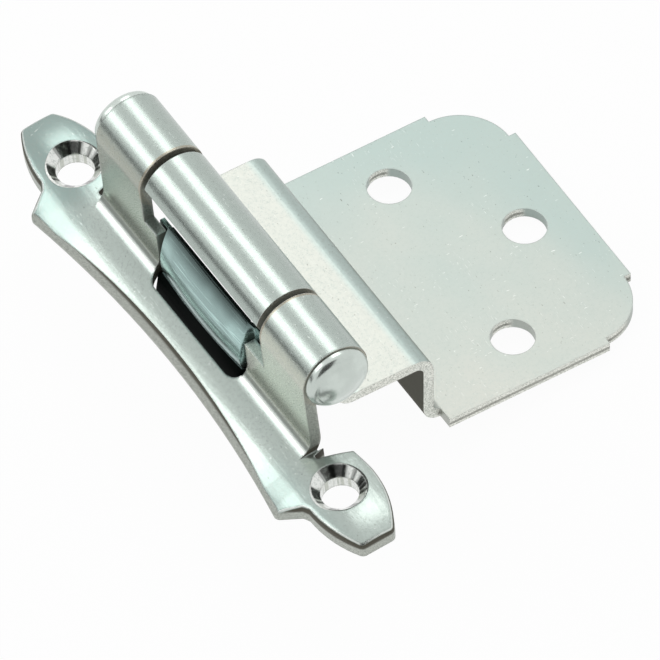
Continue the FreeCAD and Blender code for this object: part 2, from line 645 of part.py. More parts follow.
def make_hinge_pin():
    body = new_body("hinge_pin")
    start = "(Sizes.barrel_half + Sizes.head_gap)"
    rim = f"({start} + Sizes.head_rim)"
    top = f"({rim} + Sizes.head_dome)"
    shoulder = "(Sizes.head_radius - Sizes.head_bevel)"
    dome = "(Sizes.head_dome - Sizes.head_bevel)"
    dome_radius = f"({shoulder} * {shoulder} + {dome} * {dome}) / (2 * {dome})"
    sketch = new_sketch(body, "PinSection", "YZ_Plane", {"y": "Sizes.pin_height", "z": "Sizes.pin_offset"})
    outline(sketch, [
        (f"-{top}", "0"),
        (f"-({top} - {dome})", shoulder, f"-{dome_radius}"),
        (f"-{rim}", "Sizes.head_radius"),
        (f"-{start}", "Sizes.head_radius"),
        (f"-{start}", "Sizes.pin_radius"),
        (start, "Sizes.pin_radius"),
        (start, "Sizes.head_radius"),
        (rim, "Sizes.head_radius"),
        (f"{top} - {dome}", shoulder),
        (top, "0", f"-{dome_radius}"),
    ])
    turned = body.newObject("PartDesign::Revolution", "TurnedPin")
    turned.Profile = sketch
    turned.ReferenceAxis = (sketch, ["H_Axis"])
    turned.Angle = 360
    doc.recompute()
    return body


# Closing spring: a bowed plate behind the tabs, whose middle bears on the flat of the middle knuckle,
# and whose lower leg stands in the slot of the leaf

def make_closing_spring():
    body = new_body("closing_spring")
    tilt = "(Sizes.cam_tilt - Sizes.over_close)"
    flat = f"({DOOR_OUTER} - Sizes.cam_depth + Sizes.cam_gap)"
    # Where the upper inner corner of the middle section meets the plane of the flat
    touch_x = f"(Sizes.pin_offset - ({flat} - Sizes.spring_mid_drop * sin({tilt})) / cos({tilt}))"
    end_x = f"({TAB_INNER} + Sizes.spring_tab_gap)"
    far_half = [(-place, share, gauges) for place, share, gauges in reversed(SPRING_STATIONS[1:])]
    sections = []
    for k, (place, share, gauges) in enumerate(far_half + SPRING_STATIONS):
        low_x = f"({end_x} - {share} * Sizes.spring_bow)"
        high_x = f"({end_x} + {share} * ({touch_x} - Sizes.spring_gauge - {end_x}))"
        high_z = (f"Sizes.pin_height - Sizes.spring_end_drop"
                  f" + {share} * (Sizes.spring_end_drop - Sizes.spring_mid_drop)")
        arch = f"(Sizes.spring_end_arch - {share} * (Sizes.spring_end_arch - Sizes.spring_arch))"
        along = f"-(Sizes.window_shift + ({place}) * Sizes.spring_half)"
        sketch = new_sketch(body, f"SpringSection{k}", "XZ_Plane", {"z": along})
        foot_x = f"({low_x} - {share} * Sizes.spring_spread)"
        outline(sketch, [
            (foot_x, "Sizes.spring_foot"),
            (low_x, "Sizes.spring_fold"),
            (high_x, high_z, f"-{arch}"),
            (f"{high_x} + Sizes.spring_gauge", high_z),
            (f"{low_x} + {gauges} * Sizes.spring_gauge", "Sizes.spring_fold", f"+{arch}"),
            (f"{foot_x} + {gauges} * Sizes.spring_gauge", "Sizes.spring_foot"),
        ])
        sections.append(sketch)
    loft = body.newObject("PartDesign::AdditiveLoft", "BowedPlate")
    loft.Profile = sections[0]
    loft.Sections = sections[1:]
    loft.Ruled = True
    doc.recompute()
    return body


bodies = [make_frame_wing(), make_door_wing(), make_hinge_pin(), make_closing_spring()]
doc.recompute()

for item in doc.Objects:
    if "Invalid" in item.State or "Error" in item.State:
        raise RuntimeError(f"{item.Name} failed: {item.State}")
for body in bodies:
    shape = body.Shape
    if shape.isNull() or not shape.isValid() or len(shape.Solids) != 1:
        raise RuntimeError(f"{body.Label} is not one valid solid")
    print(body.Label, "volume", round(shape.Volume, 2), "box", shape.BoundBox)
for body in bodies:
    body.Shape.exportStep(f"parts/{body.Label}.step")
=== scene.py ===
"""Stage, camera, spring, pin and finishes for a self-closing cabinet hinge with a cranked door wing."""
import json

import bpy
import numpy as np
from bpy.props import FloatProperty, FloatVectorProperty, PointerProperty
from mathutils import Matrix, Vector


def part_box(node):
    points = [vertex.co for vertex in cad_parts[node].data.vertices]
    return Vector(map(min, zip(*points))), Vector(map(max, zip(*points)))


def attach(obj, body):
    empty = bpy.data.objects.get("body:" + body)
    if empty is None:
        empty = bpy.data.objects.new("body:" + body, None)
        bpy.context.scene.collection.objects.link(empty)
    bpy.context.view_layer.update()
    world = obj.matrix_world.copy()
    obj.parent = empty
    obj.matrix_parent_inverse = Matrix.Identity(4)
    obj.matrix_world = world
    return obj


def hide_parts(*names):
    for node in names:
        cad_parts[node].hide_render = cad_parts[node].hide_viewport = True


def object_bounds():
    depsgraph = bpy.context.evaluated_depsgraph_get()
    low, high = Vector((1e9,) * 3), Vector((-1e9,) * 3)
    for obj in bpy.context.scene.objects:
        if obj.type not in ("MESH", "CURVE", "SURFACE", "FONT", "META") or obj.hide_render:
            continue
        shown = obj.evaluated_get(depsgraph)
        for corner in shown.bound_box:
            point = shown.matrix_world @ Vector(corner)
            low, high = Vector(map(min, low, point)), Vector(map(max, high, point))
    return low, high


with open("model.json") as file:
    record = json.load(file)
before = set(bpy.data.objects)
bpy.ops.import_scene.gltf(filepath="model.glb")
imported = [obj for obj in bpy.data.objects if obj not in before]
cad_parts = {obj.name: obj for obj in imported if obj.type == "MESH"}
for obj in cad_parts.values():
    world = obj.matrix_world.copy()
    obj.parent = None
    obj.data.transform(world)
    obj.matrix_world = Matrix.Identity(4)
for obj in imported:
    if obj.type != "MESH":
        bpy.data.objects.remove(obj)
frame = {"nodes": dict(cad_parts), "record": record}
CAD_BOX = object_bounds()

bl_info = {
    "name": "Cranked hinge dressing",
    "version": (1, 0, 0),
    "blender": (4, 5, 0),
    "location": "View3D > Sidebar > Hinge",
    "description": "Dresses a packed cabinet hinge with its finishes, spring, pin heads, stage and camera",
    "category": "Object",
}

MM = 0.001

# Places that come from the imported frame, in metres

PIN_LOW, PIN_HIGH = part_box("hinge_pin")
SPRING_LOW, SPRING_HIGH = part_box("closing_spring")
DOOR_LOW, DOOR_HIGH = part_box("door_wing")
PIN_X = (PIN_LOW.x + PIN_HIGH.x) / 2
PIN_Z = (PIN_LOW.z + PIN_HIGH.z) / 2
HEAD_RADIUS = (PIN_HIGH.x - PIN_LOW.x) / 2
PIN_END = PIN_HIGH.y
SCREW_MOUNT = next(mount for mount in frame["record"]["mounts"] if mount["name"] == "frame_screws")
SCREW_Y = SCREW_MOUNT["dims"]["spacing_y_mm"] / 2 * MM
PLATE_HALF = DOOR_HIGH.y

# Places on the two wings that their boxes don't give, in metres

SHEET = 1.3 * MM                      # gauge of the door wing
WING_TILT = np.radians(6.0)           # the door wing rests swung by this past level
SHELF_START = PIN_X + 4.3 * MM        # the matt sheet begins here, behind the middle knuckle
PLATE_START = PIN_X + 13.3 * MM       # the crank ends and the plate begins here
BEND_START = PLATE_START - 2.3 * MM   # between these two the shelf turns down into the crank
BEND_END = PLATE_START - 1.2 * MM
KNUCKLE_START = 12.3 * MM             # inner ends of the outer knuckles, from mid length
DISH_RIM = 3.25 * MM                  # radius of the countersinks at the surface

# The photograph's view: directions of the picture's sides and of the camera, and what lies at its centre

VIEW_RIGHT = Vector((0.8425, -0.5312, -0.0886)).normalized()
VIEW_BACK = Vector((-0.2598, -0.5449, 0.7972)).normalized()
CENTRE_RIGHT = 10.761 * MM
CENTRE_UP = -8.904 * MM


# Sizes and colours that a user would change

def unit_colour(name, description, default):
    """A colour property with red, green and blue from 0 to 1."""
    return FloatVectorProperty(
        name=name, description=description, default=default, subtype="COLOR", size=3, min=0.0, max=1.0)


def length(name, description, default):
    """A length property in metres."""
    return FloatProperty(
        name=name, description=description, default=default, min=0.0, subtype="DISTANCE", unit="LENGTH")


def share(name, description, default):
    """A property from 0 to 1."""
    return FloatProperty(
        name=name, description=description, default=default, min=0.0, max=1.0, subtype="FACTOR")


class HingeSpringSizes(bpy.types.PropertyGroup):
    gauge: length("Sheet", "Thickness of the spring's sheet", 0.6 * MM)
    bow: length("Bow", "How far the fold stands out between the tabs", 2.3 * MM)
    fold_height: length("Fold height", "Fold between face and lower leg, above the spring's foot", 2.7 * MM)
    spread: length("Spread", "How far the leg's foot stands out beyond the fold", 0.65 * MM)
    arch: length("Arch", "How far the face bulges between its two long edges", 0.75 * MM)
    end_drop: length("End drop", "Upper edge of the far end below that of the middle", 2.4 * MM)
    near_end_drop: length("Near end drop", "Upper edge of the near end below that of the middle", 0.9 * MM)
    leg_round: share("Leg round", "Where the lower leg turns in, from the middle to the end", 0.72)
    fold_start: share("Fold start", "Where the face folds back, from the middle to the end", 0.745)
    fold_end: share("Fold end", "Where the fold reaches the tongues behind the tabs", 0.815)
    colour: unit_colour("Colour", "Blue-grey of the tempered sheet", (0.36, 0.50, 0.48))


class HingePinSizes(bpy.types.PropertyGroup):
    shank: length("Shank", "Radius of the pin between its heads", 2.75 * MM)
    head_height: length("Head height", "Whole height of a head", 1.95 * MM)
    inset: length("Inset", "Head inside the rim of the knuckle", 0.12 * MM)
    side: length("Side", "Height of a head's straight side", 0.3 * MM)
    rounding: length("Rounding", "Radius where the side turns into the dome", 0.95 * MM)
    colour: unit_colour("Colour", "Pale plated steel of the heads", (0.60, 0.66, 0.62))


class HingeSheetFinish(bpy.types.PropertyGroup):
    polished: unit_colour("Polished", "Plated sheet of the leaf and knuckles", (0.44, 0.50, 0.465))
    # Painted shade: a darker, bluer tint at the leaf's far end and outer corners.
    cool_shade: unit_colour("Cool film", "Plating at the leaf's far end and outer corners", (0.30, 0.385, 0.36))
    ring: unit_colour("Ring", "Brown rim at the inner ends of the outer knuckles", (0.40, 0.35, 0.26))
    tab: unit_colour("Tab", "Flat faces of the tabs", (0.44, 0.465, 0.40))
    shelf: unit_colour("Shelf", "Plated sheet of the shelf", (0.515, 0.53, 0.485))
    # Painted reflection: a lighter, bluer tint where the shelf turns down into the crank.
    bend: unit_colour("Bend", "Bend from the shelf down to the plate", (0.43, 0.51, 0.48))
    plate_near: unit_colour("Plate, near end", "Plated sheet of the plate's near end", (0.45, 0.462, 0.422))
    plate_far: unit_colour("Plate, far end", "Plated sheet of the plate's far end", (0.345, 0.415, 0.39))
    sheared: unit_colour("Sheared", "Grey of the cut edges", (0.51, 0.53, 0.48))
    # Also the colour of painted highlights: the line along the leaf's rim and the bright sectors in the
    # countersinks.
    wear_and_highlight: unit_colour("Worn", "Bright metal along edges and in scratches", (0.78, 0.80, 0.77))
    # Also the colour of painted shade: corners, the crank's inside and faces that look down turn towards it;
    # pits and the band under the leaf's rim take it too.
    grime_and_shade: unit_colour("Grime", "Dark film in the corners", (0.078, 0.072, 0.05))
    polished_rough: share("Polished roughness", "Roughness of the leaf and knuckles", 0.27)
    matt_rough: share("Matt roughness", "Roughness of shelf and plate", 0.4)
    grain: length("Grain", "Size of the speckle in the plating", 0.12 * MM)
    scratch: length("Scratch", "Width of the fine scratches", 0.07 * MM)


class HingeStageSettings(bpy.types.PropertyGroup):
    picture_width: length("Picture width", "Width that the camera takes in", 72.107 * MM)
    camera_distance: length("Camera distance", "From the picture's centre to the camera", 0.5)
    floor_size: length("Floor", "Side of the floor", 1.6)
    floor_colour: unit_colour("Floor colour", "Pale floor", (0.88, 0.88, 0.88))
    lamp_distance: length("Lamp distance", "From the hinge to the strip lamps and dark cards", 0.45)
    lamp_length: length("Lamp length", "Strip lamps, along the pin", 0.34)
    lamp_width: length("Lamp width", "Strip lamps, across the pin", 0.18)


# Surfaces

def grid_object(name, points, closed_across=False):
    """Mesh object from a grid of points, shaped (along, across, 3). Each cell of the grid is one face, and
    a grid that is closed across joins its last column to its first."""
    count_along, count_across = points.shape[:2]
    index = np.arange(count_along * count_across).reshape(count_along, count_across)
    here, after = index[:-1], index[1:]
    if closed_across:
        corners = (here, np.roll(here, -1, axis=1), np.roll(after, -1, axis=1), after)
    else:
        corners = (here[:, :-1], here[:, 1:], after[:, 1:], after[:, :-1])
    faces = np.stack([corner.ravel() for corner in corners], axis=1).tolist()
    mesh = bpy.data.meshes.new(name)
    mesh.from_pydata(points.reshape(-1, 3).tolist(), [], faces)
    mesh.polygons.foreach_set("use_smooth", np.ones(len(mesh.polygons), dtype=bool))
    mesh.update()
    made = bpy.data.objects.new(name, mesh)
    bpy.context.scene.collection.objects.link(made)
    return made


def smooth_fold(place, start, end):
    """1 before the start, 0 after the end, and 3t^2 - 2t^3 between them."""
    t = np.clip((end - place) / (end - start), 0.0, 1.0)
    return t * t * (3.0 - 2.0 * t)


SPRING_STEPS = 181                        # places along the spring
SPRING_FALL = 0.16                        # share of the bow that is lost at the start of the fold
UPPER_STAND = 0.475 * MM                  # upper edge in front of the tongues, at mid length
TONGUE_ARCH = 0.13 * MM                   # bulge of the tongues
LEG_ROWS = (1.0, 0.66, 0.33, 0.08, 0.03)  # rows of the leg below the fold, as shares of its height
FOLD_ROWS = (0.0, 0.008, 0.025)           # rows of the face beside the fold, as shares of its height
FACE_START, FACE_ROWS = 0.06, 24          # first of its other rows, and their number
LEG_PAST = 0.012                          # leg past the end of the fold, as a share of half the length
LEG_SQUARE = 3.5                          # exponent of the curve that ends the leg: 2 is an ellipse
LEG_JOIN = 0.3                            # share of the leg's height over which it turns to the fold
SPRING_EDGE = 0.07 * MM                   # easing of the sheet's edges


def spring_face(sizes):
    """Outer face of the closing spring. Along the pin it stands out by the bow, falls off as the square of
    the place from the middle, and folds back to the tongues. Across, the lower leg is straight up to the
    fold, and above it the face leans to the upper edge and bulges as 4s(1 - s)."""
    along = np.linspace(-1.0, 1.0, SPRING_STEPS)
    place = np.abs(along)
    fold = smooth_fold(place, sizes.fold_start, sizes.fold_end)
    out = (fold * (1.0 - SPRING_FALL * (place / sizes.fold_start) ** 2))[:, None]
    tongue = SPRING_HIGH.x - sizes.gauge
    fold_x = tongue - out * sizes.bow
    fold_z = SPRING_LOW.z + sizes.fold_height
    lean = out * (sizes.bow - UPPER_STAND)
    drop = np.where(along < 0.0, sizes.near_end_drop, sizes.end_drop)[:, None]
    high_z = SPRING_HIGH.z - (1.0 - out) * drop
    middle = (SPRING_LOW.y + SPRING_HIGH.y) / 2
    half = (SPRING_HIGH.y - SPRING_LOW.y) / 2
    down = np.array(LEG_ROWS)[None, :]
    up = np.concatenate([FOLD_ROWS, np.linspace(FACE_START, 1.0, FACE_ROWS)])[None, :]
    leg_end = sizes.fold_end + LEG_PAST
    leg_t = np.clip((place - sizes.leg_round) / (leg_end - sizes.leg_round), 0.0, 1.0)
    leg_out = ((1.0 - leg_t ** LEG_SQUARE) ** (1.0 / LEG_SQUARE))[:, None]
    leg_out = out + (leg_out - out) * np.clip(down / LEG_JOIN, 0.0, 1.0)
    leg_x = tongue - leg_out * (sizes.bow + sizes.spread * down)
    leg_z = np.broadcast_to(fold_z - sizes.fold_height * down, leg_x.shape)
    arch = TONGUE_ARCH + out * (sizes.arch - TONGUE_ARCH)
    face_x = fold_x + lean * up - arch * 4.0 * up * (1.0 - up)
    face_z = fold_z + (high_z - fold_z) * up
    x = np.concatenate([leg_x, face_x], axis=1)
    z = np.concatenate([leg_z, face_z], axis=1)
    y = np.broadcast_to((middle + along * half)[:, None], x.shape)
    return np.stack([x, y, z], axis=2)


def sheet_from_face(name, face, gauge, edge):
    """Sheet of one gauge behind a face: solidified away from its outer side, with its edges eased."""
    made = grid_object(name, face)
    wall = made.modifiers.new("Gauge", "SOLIDIFY")
    wall.thickness = gauge
    wall.offset = -1.0
    wall.use_even_offset = True
    ease = made.modifiers.new("Edges", "BEVEL")
    ease.width = edge
    ease.segments = 2
    ease.limit_method = "ANGLE"
    return made


DOME_STEPS = 22            # places across a head's dome
ROUND_STEPS = 12           # places round its edge
TURN_STEPS = 128           # places round the pin
HEAD_LIP = 0.02 * MM       # last stretch of a head's side, which keeps its lower edge sharp
POLE_MERGE = 0.001 * MM    # points of a dome's middle nearer than this become one


def pin_profile(sizes):
    """Half section of the pin from the tip of one head to that of the other, as radius and place along the
    pin: a shallow dome that falls as r^2, a quarter turn of the rounding, the straight side, the shank."""
    head = HEAD_RADIUS - sizes.inset
    dome_r = np.linspace(0.0, head - sizes.rounding, DOME_STEPS)
    dome_rise = sizes.head_height - sizes.side - sizes.rounding
    dome = PIN_END - dome_rise * (dome_r / dome_r[-1]) ** 2
    turn = np.linspace(0.0, np.pi / 2, ROUND_STEPS)[1:]
    round_r = head - sizes.rounding + sizes.rounding * np.sin(turn)
    round_y = PIN_END - dome_rise - sizes.rounding * (1.0 - np.cos(turn))
    under = PIN_END - sizes.head_height
    radius = np.concatenate([dome_r, round_r, [head, head, sizes.shank]])
    place = np.concatenate([dome, round_y, [under + HEAD_LIP, under, under]])
    return np.concatenate([radius, radius[::-1]]), np.concatenate([place, -place[::-1]])


def turned_surface(name, radius, place):
    """Surface of revolution about the pin's axis: (x, z) = centre + r (sin a, cos a), y = place."""
    angle = np.linspace(0.0, 2.0 * np.pi, TURN_STEPS, endpoint=False)
    x = PIN_X + radius[:, None] * np.sin(angle)[None, :]
    z = PIN_Z + radius[:, None] * np.cos(angle)[None, :]
    y = np.broadcast_to(place[:, None], x.shape)
    made = grid_object(name, np.stack([x, y, z], axis=2), closed_across=True)
    weld = made.modifiers.new("Poles", "WELD")
    weld.merge_threshold = POLE_MERGE
    return made


# Shader maths

OPEN_AIR_SAMPLES = 8
EASED_SAMPLES = 4
EDGE_LEVELS = (0.995, 0.9)     # dot product of the true and the eased normal, away from an edge and on it


class Signal:
    """A socket of a finish. Arithmetic on it adds Math nodes."""

    def __init__(self, finish, socket):
        self.finish = finish
        self.socket = socket

    def joined(self, operation, first, second):
        return self.finish.node("ShaderNodeMath", {"operation": operation}, {0: first, 1: second})[0]

    def __add__(self, other):
        return self.joined("ADD", self, other)

    def __radd__(self, other):
        return self.joined("ADD", other, self)

    def __sub__(self, other):
        return self.joined("SUBTRACT", self, other)

    def __rsub__(self, other):
        return self.joined("SUBTRACT", other, self)

    def __mul__(self, other):
        return self.joined("MULTIPLY", self, other)

    def __rmul__(self, other):
        return self.joined("MULTIPLY", other, self)


class Finish:
    """The nodes of a material or of the world. One method adds any node, from its settings and its inputs."""

    def __init__(self, owner):
        owner.use_nodes = True
        self.owner = owner
        self.tree = owner.node_tree
        self.tree.nodes.clear()

    def node(self, kind, settings=None, inputs=None):
        made = self.tree.nodes.new(kind)
        for name, value in (settings or {}).items():
            setattr(made, name, value)
        for name, value in (inputs or {}).items():
            if isinstance(value, Signal):
                self.tree.links.new(value.socket, made.inputs[name])
            else:
                made.inputs[name].default_value = value
        return [Signal(self, socket) for socket in made.outputs]

    def place(self):
        """Place on the piece, in metres."""
        return self.node("ShaderNodeTexCoord")[3]

    def facing(self):
        """Direction that the surface faces, in the piece's own axes."""
        return self.node("ShaderNodeTexCoord")[1]

    def parts(self, vector):
        """The three numbers of a vector."""
        return self.node("ShaderNodeSeparateXYZ", None, {0: vector})

    def noise(self, size, detail=2.0, stretch=(1.0, 1.0, 1.0), turn=(0.0, 0.0, 0.0), roughness=0.5):
        """Noise whose lumps are about size across, from 0 to 1, drawn out where stretch is over 1."""
        placing = {"Vector": self.place(), "Rotation": turn, "Scale": [1.0 / part for part in stretch]}
        mapped = self.node("ShaderNodeMapping", None, placing)[0]
        inputs = {"Vector": mapped, "Scale": 1.0 / size, "Detail": detail, "Roughness": roughness}
        return self.node("ShaderNodeTexNoise", None, inputs)[0]

    def step(self, value, low, high, to_low=0.0, to_high=1.0):
        """Smooth step of a value from one number to another, held at both ends."""
        settings = {"interpolation_type": "SMOOTHSTEP", "clamp": True}
        inputs = {"Value": value, "From Min": low, "From Max": high, "To Min": to_low, "To Max": to_high}
        return self.node("ShaderNodeMapRange", settings, inputs)[0]

    def blend(self, mask, first, second):
        """Colour that goes from the first to the second as the mask goes from 0 to 1."""
        first = first if isinstance(first, Signal) else (*first, 1.0)
        second = second if isinstance(second, Signal) else (*second, 1.0)
        return self.node("ShaderNodeMix", {"data_type": "RGBA"}, {0: mask, 6: first, 7: second})[2]

    def open_air(self, reach):
        """1 in the open, and less in corners that other surfaces close in within a reach."""
        return self.node("ShaderNodeAmbientOcclusion", {"samples": OPEN_AIR_SAMPLES}, {"Distance": reach})[1]

    def most(self, first, second):
        """The greater of two values."""
        return self.node("ShaderNodeMath", {"operation": "MAXIMUM"}, {0: first, 1: second})[0]

    def size_of(self, value):
        """A value without its sign."""
        return self.node("ShaderNodeMath", {"operation": "ABSOLUTE"}, {0: value})[0]

    def root(self, value):
        """Square root of a value."""
        return self.node("ShaderNodeMath", {"operation": "SQRT"}, {0: value})[0]

    def eased(self, radius):
        """Normal of the surface with its edges rounded by a radius."""
        return self.node("ShaderNodeBevel", {"samples": EASED_SAMPLES}, {"Radius": radius})[0]

    def edge(self, radius):
        """1 along the edges of a surface and 0 away from them: a smooth step of the dot product of the true
        normal and the one that is eased over a radius, which falls below 1 at an edge."""
        normals = {0: self.eased(radius), 1: self.node("ShaderNodeNewGeometry")[1]}
        same = self.node("ShaderNodeVectorMath", {"operation": "DOT_PRODUCT"}, normals)[1]
        return self.step(same, *EDGE_LEVELS)

    def bump(self, height, distance, strength, eased_by=None):
        """Normal of a surface with a small relief, over edges eased by a radius where one is given."""
        inputs = {"Height": height, "Distance": distance, "Strength": strength}
        if eased_by:
            inputs["Normal"] = self.eased(eased_by)
        return self.node("ShaderNodeBump", None, inputs)[0]

    def surface(self, **sockets):
        """Principled surface that ends the material. A key such as base_color stands for Base Color."""
        names = {key.replace("_", " ").title(): value for key, value in sockets.items()}
        self.end(self.node("ShaderNodeBsdfPrincipled", None, names)[0])
        return self.owner

    def end(self, shader):
        """Ends the nodes of a material or of the world with a shader."""
        is_world = isinstance(self.owner, bpy.types.World)
        kind = "ShaderNodeOutputWorld" if is_world else "ShaderNodeOutputMaterial"
        self.node(kind, None, {"Surface": shader})


def scaled(colour, factor):
    """A colour made lighter or darker."""
    return tuple(min(1.0, channel * factor) for channel in colour)


def around(finish, x, y):
    """Distance from an axis, from the two numbers across it."""
    return finish.root(x * x + y * y)


# Plated metal of both wings

# Levels are values of a noise or another measure, from where a mask is 0 to where it is 1. A stretch draws
# a noise out along X, Y and Z, and a turn is about the three axes, in radians. A share is how much of one
# colour covers the other, and a tone makes a colour lighter or darker.
COARSE_SIZE = 3.5                     # in grains
SPECK_LEVELS = (0.56, 0.34)
SPECK_SHARE, SPECK_TONE = 0.8, 0.78
COVER_LEVELS = (0.35, 0.62)           # where the coarse noise covers the specks again
DRAWN_STRETCH = (1.0, 30.0, 1.0)
SCRATCH_STRETCH, SCRATCH_TURN = (1.0, 14.0, 1.0), (0.0, 0.0, 0.9)
SCRATCH_LEVELS = (0.70, 0.76)
DASH_SIZE = 2.6                       # in scratch widths
DASH_STRETCH, DASH_TURN = (5.0, 1.0, 1.0), (0.0, 0.0, 0.35)
DASH_LEVELS = (0.725, 0.75)
PIT_SIZE = 2.4                        # in scratch widths
PIT_STRETCH, PIT_TURN = (1.0, 2.5, 1.0), (0.0, 0.0, -0.3)
PIT_LEVELS, PIT_SHARE = (0.265, 0.23), 0.5
WORN_SIZE, WORN_LEVELS = 6.0 * MM, (0.5, 0.6)         # places that have scratches
GROUP_SIZE, GROUP_LEVELS = 3.2 * MM, (0.52, 0.62)     # places that have dashes
BRIGHT_EDGE = 0.14 * MM               # reach of the bright line along the edges
BRIGHT_SHARE = 0.6
RIM_INSIDE = (3.66 * MM, 3.8 * MM)    # rims of the knuckles, from the pin's axis
RIM_OUTSIDE = (4.6 * MM, 4.3 * MM)
GRIT_LEVELS = (0.36, 0.6)
GRIT_DARK, GRIT_LIGHT = 0.65, 1.3     # tones of the two kinds of grain on a cut edge
GRIT_SHARE = 0.85
RIM_BROWN = 0.7                       # share of brown in the light grain of a rim
RIM_LEAST, RIM_GRIT = 0.35, 0.6       # how far a rim's dark grain is spared painted shade and dark film, and how much more the light
# Painted shade: corners that other surfaces close in within this reach darken, by these levels of open air
CORNER_SHADE_REACH, CORNER_SHADE_LEVELS = 3.5 * MM, (0.1, 0.75)
CORNER_LIT_LEAST = 0.35                     # painted shade: least share of light that a deep corner keeps
RELIEF, RELIEF_STRENGTH = 0.010 * MM, 0.8


def plated_metal(finish, look, tint, clear, cut, rough, ease, lean, sheared, speckle=1.0, bright=0.0):
    """Plated steel on either of the two wings: a tint with a fine grain, bright scratches and dashes, rough
    cut edges with a bright line along them, and painted shade in the corners, in a dark film colour. Clear
    says how free of painted shade and dark film a place is, cut where the sheet was sheared, and sheared is
    the tone of its cut edges. Clear, cut, rough, speckle and bright are masks or numbers; bright can carry a
    painted highlight. Lean is a height that turns the surface gently."""
    grain = finish.noise(look.grain, detail=2.0, roughness=0.6)
    coarse = finish.noise(COARSE_SIZE * look.grain, detail=2.0)
    drawn = finish.noise(look.scratch, detail=1.0, stretch=DRAWN_STRETCH)
    scratch = finish.noise(look.scratch, 1.0, SCRATCH_STRETCH, SCRATCH_TURN)
    dash = finish.noise(DASH_SIZE * look.scratch, 1.0, DASH_STRETCH, DASH_TURN)
    pit = finish.noise(PIT_SIZE * look.scratch, 1.0, PIT_STRETCH, PIT_TURN)
    # Places that have scratches
    wear_and_highlight = finish.step(finish.noise(WORN_SIZE, detail=1.0), *WORN_LEVELS)
    groups = finish.step(finish.noise(GROUP_SIZE, detail=0.0), *GROUP_LEVELS)
    scratches = finish.step(scratch, *SCRATCH_LEVELS) * wear_and_highlight
    dashes = finish.step(dash, *DASH_LEVELS) * groups
    marks = finish.most(scratches, dashes)

    specks = SPECK_SHARE * speckle * finish.step(grain, *SPECK_LEVELS)
    dim = finish.blend(specks, tint, scaled(look.polished, SPECK_TONE))
    tint = finish.blend(finish.step(coarse, *COVER_LEVELS), dim, tint)
    tint = finish.blend(PIT_SHARE * finish.step(pit, *PIT_LEVELS), tint, look.grime_and_shade)
    # Bright line along the edges, as wear, together with any painted highlight that the caller passes as
    # bright
    bright = finish.most(finish.edge(BRIGHT_EDGE), bright)
    tint = finish.blend(finish.most(BRIGHT_SHARE * marks, BRIGHT_SHARE * bright), tint, look.wear_and_highlight)

    px, _, pz = finish.parts(finish.place())
    from_pin = around(finish, px - PIN_X, pz - PIN_Z)
    rim = finish.step(from_pin, *RIM_INSIDE) * finish.step(from_pin, *RIM_OUTSIDE) * cut
    grit = finish.step(grain, *GRIT_LEVELS)
    dark = scaled(look.sheared, GRIT_DARK * sheared)
    light = scaled(look.sheared, GRIT_LIGHT * sheared)
    gritty = finish.blend(grit, dark, light)
    gritty = finish.blend(RIM_BROWN * grit * rim, gritty, look.ring)
    colour = finish.blend(GRIT_SHARE * cut, tint, gritty)

    # Painted shade: corners that other surfaces close in, and places that clear leaves low, turn towards the
    # dark film colour; rims are partly spared
    open_air = finish.step(finish.open_air(CORNER_SHADE_REACH), *CORNER_SHADE_LEVELS)
    clear = finish.step(clear * (CORNER_LIT_LEAST + (1.0 - CORNER_LIT_LEAST) * open_air), 0.0, 1.0)
    clear = finish.most(clear, rim * (RIM_LEAST + RIM_GRIT * grit))
    colour = finish.blend(clear, look.grime_and_shade, colour)
    roughness = rough + 0.10 * (grain - 0.5) + 0.15 * cut + 0.3 * (1.0 - clear)
    relief = 0.7 * grain + 0.25 * drawn - 0.5 * marks + 0.6 * cut * grain + lean
    normal = finish.bump(relief, RELIEF, RELIEF_STRENGTH, eased_by=ease)
    # Painted shade also lowers the metallic share where clear is low
    return finish.surface(base_color=colour, metallic=0.3 + 0.6 * clear, roughness=roughness, normal=normal)


# Door wing. Facing levels are shares of the surface's direction along an axis.

SHELF_RUN = 0.7 * MM                  # over which the polish turns matt
PLATE_RUN = 0.5 * MM                  # over which the lighter, bluer painted reflection gives way to the plate's tint
CLOUD_SIZE, CLOUD_STRETCH, CLOUD_TURN = 11.0 * MM, (1.0, 1.6, 1.0), (0.0, 0.0, 0.5)
FAR_ALONG, FAR_ACROSS, FAR_CLOUD = 0.4, 0.35, 1.1   # what makes a place on the plate count as far
FAR_LEVELS = (-0.45, 0.85)
DOOR_CUT = (0.8, 0.95)                # facing along the pin
CRANK_INSIDE = (-0.6, -0.35)          # facing the pin: the crank's inside, which gets painted shade
UNDERSIDE, UNDERSIDE_LIT = (-0.6, -0.2), 0.6      # facing down, and the share of light that painted shade leaves there
HIDDEN_LIT = 0.12                   # painted shade: share of light that the inside of the crank keeps
TORN_LOWER, TORN_UPPER = (0.22, 0.34), (0.66, 0.52)  # torn band on the plate's cut edges, in gauges
TORN_DARK = 0.45
DOOR_DRAWN_SIZE, DOOR_DRAWN_STRETCH, DOOR_DRAWN_HEIGHT = 0.9 * MM, (1.0, 14.0, 1.0), 2.5
DOOR_EDGE = 0.16 * MM                 # easing of the edges
DOOR_SHEARED = 1.5                    # tone of the cut edges
PLATE_CALM = 0.2                      # share of the specks that the plate lacks


def above_underside(px, pz):
    """Height over the plate's underside, in gauges and at right angles to the plate, which hangs by its tilt:
    x sin(tilt) + z cos(tilt) from the pin's axis, less that of the wing's lowest outer corner."""
    slope, level = float(np.sin(WING_TILT)), float(np.cos(WING_TILT))
    underside = (DOOR_HIGH.x - PIN_X) * slope + (DOOR_LOW.z - PIN_Z) * level
    return ((px - PIN_X) * slope + (pz - PIN_Z) * level - underside) * (1.0 / SHEET)


